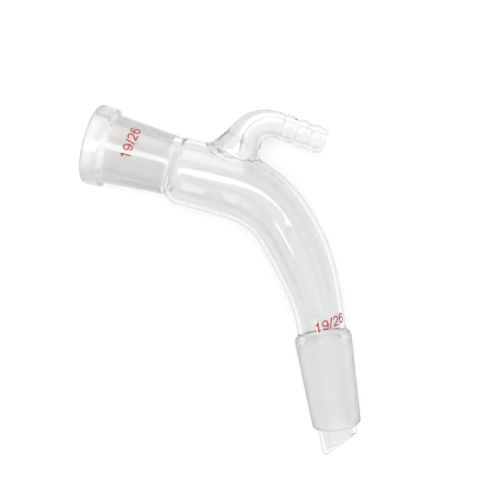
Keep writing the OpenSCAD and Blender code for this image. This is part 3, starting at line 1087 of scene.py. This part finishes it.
stage = dict(
    floorSize=6.0,
    floorColour=(0.42, 0.42, 0.42, 1),
    floorGlow=0.62,         # what is added where the floor is seen straight
    floorBehind=0.58,       # and where it shows in gloss or through glass
    skyLight=0.77,          # what the surroundings give to dull surfaces
    skySeen=0.88,           # and what shows of them in gloss and through glass
    skyDark=0.12,           # the dark strip just over the floor's far edge
    skyDarkTop=0.22,        # the strip ends at this height, and skySeen holds from the next one up
    skyClear=0.45,
    skyBehind=0.98,         # the surroundings as the camera sees them straight
    bounces=32,             # light crosses the thick walls of the side arm many times
)
panel = dict(               # a soft panel overhead, in mm
    height=600.0,
    corners=(               # right and up of the middle of the camera's view
        (-300, -215), (-215, -215), (-200, -112), (205, 120), (205, 152),
        (165, 178), (-26, 166), (-95, 90), (-300, 75)),
    glow=7.0,
    through=0.25,           # the share of it that shows through a wall of the glass
)
lamp = dict(                # a weak lamp from the side, in metres
    at=(0.05, 0.9, 0.52),
    aim=(0.0, 0.03, 0.01),
    size=0.6,
    sizeY=0.66,
    power=2.0,
)
view = dict(                # the camera, in the drawing's mm
    centre=(33.40, -19.43, 0.0),
    distance=231.5,
    roll=math.radians(15.4),
    lens=50.0,
    sensor=36.0,
    nearest=0.01,           # these two in metres
    farthest=20.0,
)
rigid = lay @ Matrix.Scale(1000.0, 4)
upright = rigid.to_3x3().to_4x4() @ Matrix.Rotation(view["roll"], 4, "Z")


def fromView(right, up, height):
    # A place given as the camera sees it, in mm from the middle of its view
    turned = Matrix.Rotation(view["roll"], 3, "Z") @ Vector((right, up, height))
    return lay @ (Vector(view["centre"]) + turned)


floorMaterial, tree = newMaterial("paleFloor")
path = addNode(tree, "ShaderNodeLightPath", {}).outputs
behind = calc(tree, "MAXIMUM", path["Is Glossy Ray"], path["Is Transmission Ray"])
added = calc(tree, "MULTIPLY_ADD", path["Is Camera Ray"], stage["floorGlow"], calc(
    tree, "MULTIPLY", behind, stage["floorBehind"]))
glow = addNode(tree, "ShaderNodeEmission", {"Color": (1, 1, 1, 1), "Strength": added})
matte = addNode(tree, "ShaderNodeBsdfDiffuse", {"Color": stage["floorColour"]})
both = addNode(tree, "ShaderNodeAddShader", {0: glow.outputs[0], 1: matte.outputs[0]})
addNode(tree, "ShaderNodeOutputMaterial", {"Surface": both.outputs[0]})

half = stage["floorSize"] / 2
plane = bpy.data.meshes.new("floor")
floorCorners = [(-half, -half, 0), (half, -half, 0), (half, half, 0), (-half, half, 0)]
plane.from_pydata(floorCorners, [], [(0, 1, 2, 3)])
plane.materials.append(floorMaterial)
floor = newObject("floor", plane)

world = bpy.data.worlds.new("studio")
world.use_nodes = True
tree = world.node_tree
toward = addNode(tree, "ShaderNodeTexCoord", {}).outputs["Generated"]
height = addNode(tree, "ShaderNodeSeparateXYZ", {0: toward}).outputs["Z"]
fade = addNode(tree, "ShaderNodeMapRange", {
    "Value": height, "From Min": stage["skyDarkTop"], "From Max": stage["skyClear"],
    "To Min": stage["skyDark"], "To Max": stage["skySeen"]}, interpolation_type="SMOOTHSTEP").outputs[0]
path = addNode(tree, "ShaderNodeLightPath", {}).outputs
shown = calc(tree, "MAXIMUM", path["Is Glossy Ray"], path["Is Transmission Ray"])
straight = path["Is Camera Ray"]
hidden = calc(tree, "SUBTRACT", 1.0, calc(tree, "MAXIMUM", shown, straight))
level = calc(tree, "ADD", calc(tree, "MULTIPLY", shown, fade), calc(
    tree, "MULTIPLY_ADD", hidden, stage["skyLight"], calc(tree, "MULTIPLY", straight, stage["skyBehind"])))
tree.links.new(level, tree.nodes["Background"].inputs["Strength"])
tree.nodes["Background"].inputs["Color"].default_value = (1, 1, 1, 1)
scene.world = world

panelMaterial, tree = newMaterial("softPanel")
passed = addNode(tree, "ShaderNodeLightPath", {}).outputs["Is Transmission Ray"]
level = calc(tree, "MULTIPLY_ADD", passed, panel["glow"] * (panel["through"] - 1), panel["glow"])
glow = addNode(tree, "ShaderNodeEmission", {"Color": (1, 1, 1, 1), "Strength": level})
addNode(tree, "ShaderNodeOutputMaterial", {"Surface": glow.outputs[0]})
sheet = bpy.data.meshes.new("overheadPanel")
corners = [fromView(x, y, panel["height"]) for x, y in panel["corners"]]
sheet.from_pydata(corners, [], [tuple(range(len(corners)))[::-1]])
sheet.materials.append(panelMaterial)
overhead = newObject("overheadPanel", sheet)
overhead.visible_camera = False
newLamp("sideLamp", **lamp)

scene.cycles.max_bounces = stage["bounces"]
scene.cycles.glossy_bounces = stage["bounces"]
scene.cycles.transmission_bounces = stage["bounces"]

camera = bpy.data.cameras.new("camera")
camera.lens = view["lens"]
camera.sensor_width = view["sensor"]
camera.clip_start = view["nearest"]
camera.clip_end = view["farthest"]
eye = newObject("camera", camera)
eye.matrix_world = Matrix.Translation(fromView(0, 0, view["distance"])) @ upright
scene.camera = eye
scene.view_settings.view_transform = "Standard"
print("the stage is set")
